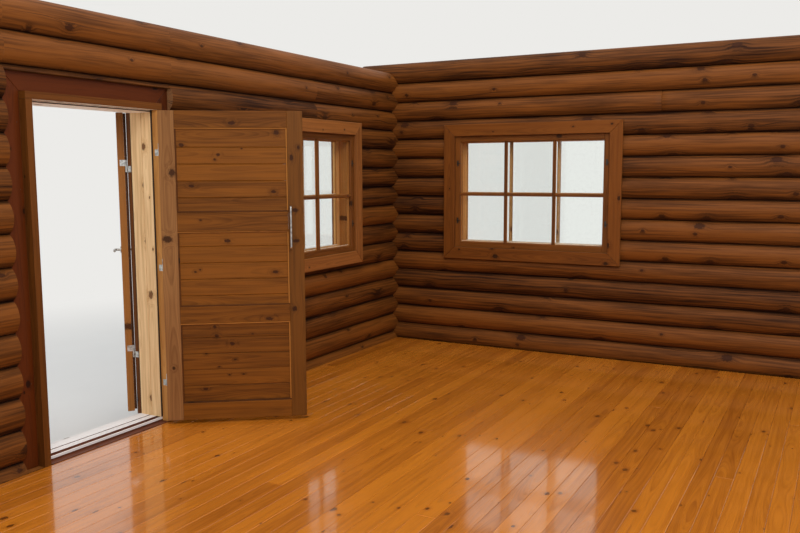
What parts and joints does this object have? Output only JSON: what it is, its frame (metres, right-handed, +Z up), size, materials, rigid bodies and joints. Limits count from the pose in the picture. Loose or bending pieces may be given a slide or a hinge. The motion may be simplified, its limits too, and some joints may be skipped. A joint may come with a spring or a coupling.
{
  "type": "log cabin corner",
  "caption": "Corner of a round-log cabin: two notched log walls with a double-leaf doorway, windows and a board floor on joists.",
  "frame": {"origin": "ground level at the crossing of the two walls' centrelines, on the underside of the sill log", "axes": "+Z up, +X along the window wall into the room's width, -Y along the door wall; the room is at +X -Y"},
  "size_m": [5.0788, 5.3, 2.99],
  "materials": {
    "logs": "satin",
    "pale_pine": "satin",
    "door_pine": "satin",
    "outer_door": "satin",
    "window_pine": "satin",
    "casings": "satin",
    "floor": "gloss",
    "raw_timber": "sawn",
    "threshold": "worn",
    "steel": "brushed",
    "glass": "clear"
  },
  "bodies": {
    "cabin": {"door_wall_base_logs": "logs", "door_wall_apron_logs": "logs", "door_wall_corner_logs": "logs", "door_wall_pier_logs": "logs", "door_wall_end_logs": "logs", "door_wall_top_logs": "logs", "window_wall_base_logs": "logs", "window_wall_corner_logs": "logs", "window_wall_end_logs": "logs", "window_wall_top_logs": "logs", "door_frame": "pale_pine", "door_threshold": "threshold", "door_frame_hinges": "steel", "door_inner_casing": "casings", "door_outer_casing": "casings", "floor_boards": "floor", "floor_joists": "raw_timber", "floor_bearers": "raw_timber", "two_light_window_frame": "window_pine", "two_light_window_sashes": "window_pine", "two_light_window_glass": "glass", "two_light_window_drip": "casings", "two_light_window_inner_casing": "casings", "two_light_window_outer_casing": "casings", "three_light_window_frame": "window_pine", "three_light_window_sashes": "window_pine", "three_light_window_glass": "glass", "three_light_window_drip": "casings", "three_light_window_inner_casing": "casings", "three_light_window_outer_casing": "casings"},
    "inner_door": {"inner_leaf_frame": "door_pine", "inner_leaf_panels": "door_pine", "inner_leaf_hinges": "steel", "inner_leaf_pulls": "steel"},
    "outer_door": {"outer_leaf_frame": "outer_door", "outer_leaf_boards": "outer_door", "outer_leaf_hinges": "steel", "outer_leaf_levers": "steel"}
  },
  "joints": [
    {"name": "inner_door_hinge", "type": "hinge", "parent": "cabin", "child": "inner_door", "pos_m": [0.12, -3.2965, 1.326], "axis": [0, 0, 1], "range_deg": [-126, 24]},
    {"name": "outer_door_hinge", "type": "hinge", "parent": "cabin", "child": "outer_door", "pos_m": [-0.176, -3.2965, 1.339], "axis": [0, 0, 1], "range_deg": [-17, 133]}
  ]
}
